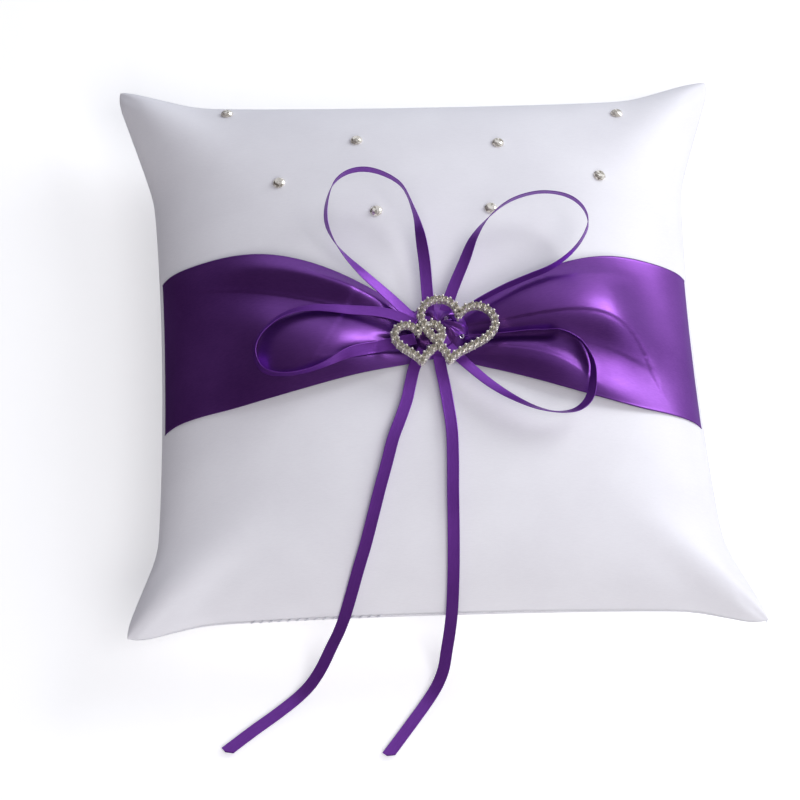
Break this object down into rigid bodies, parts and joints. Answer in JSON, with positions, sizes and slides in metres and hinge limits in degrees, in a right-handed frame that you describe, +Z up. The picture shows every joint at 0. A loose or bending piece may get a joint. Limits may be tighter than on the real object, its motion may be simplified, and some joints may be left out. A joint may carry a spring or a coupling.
{
  "type": "ring bearer pillow",
  "caption": "Square satin ring pillow lying on its back, with a gathered sash, a looped narrow-ribbon bow with two ring tails, a double-heart brooch and small stones.",
  "frame": {"origin": "on the table under the middle of the cut square, the pillow lying on its back", "axes": "+Z up through the front panel, +Y towards the pillow's top edge, +X to the right seen from above"},
  "size_m": [0.186, 0.2177, 0.0623],
  "materials": {
    "white_satin": "matt-side duchess satin, soft sheen",
    "purple_satin": "single-face polyester satin ribbon, bright sheen",
    "filling": "loose polyester fibre",
    "thread": "spun polyester thread",
    "silver": "silver plated casting",
    "crystal": "faceted foiled glass",
    "clear_glue": "clear set glue"
  },
  "bodies": {
    "root": {"front_cover_panel": "white_satin", "back_cover_panel": "white_satin", "fibre_filling": "filling", "seam_thread": "thread", "closing_thread": "thread", "sash_ribbon": "purple_satin", "sash_gather_thread": "thread", "bow_loop_upper_left": "purple_satin", "bow_loop_upper_right": "purple_satin", "bow_loop_lower_left": "purple_satin", "bow_loop_lower_right": "purple_satin", "tail_left": "purple_satin", "tail_right": "purple_satin", "bow_knot": "purple_satin", "double_heart_setting": "silver", "large_heart_stones": "crystal", "small_heart_stones_outer": "crystal", "small_heart_stones_inner": "crystal", "glue_pad": "clear_glue", "rhinestone_1": "crystal", "rhinestone_2": "crystal", "rhinestone_3": "crystal", "rhinestone_4": "crystal", "rhinestone_5": "crystal", "rhinestone_6": "crystal", "rhinestone_7": "crystal", "rhinestone_8": "crystal"}
  },
  "joints": []
}
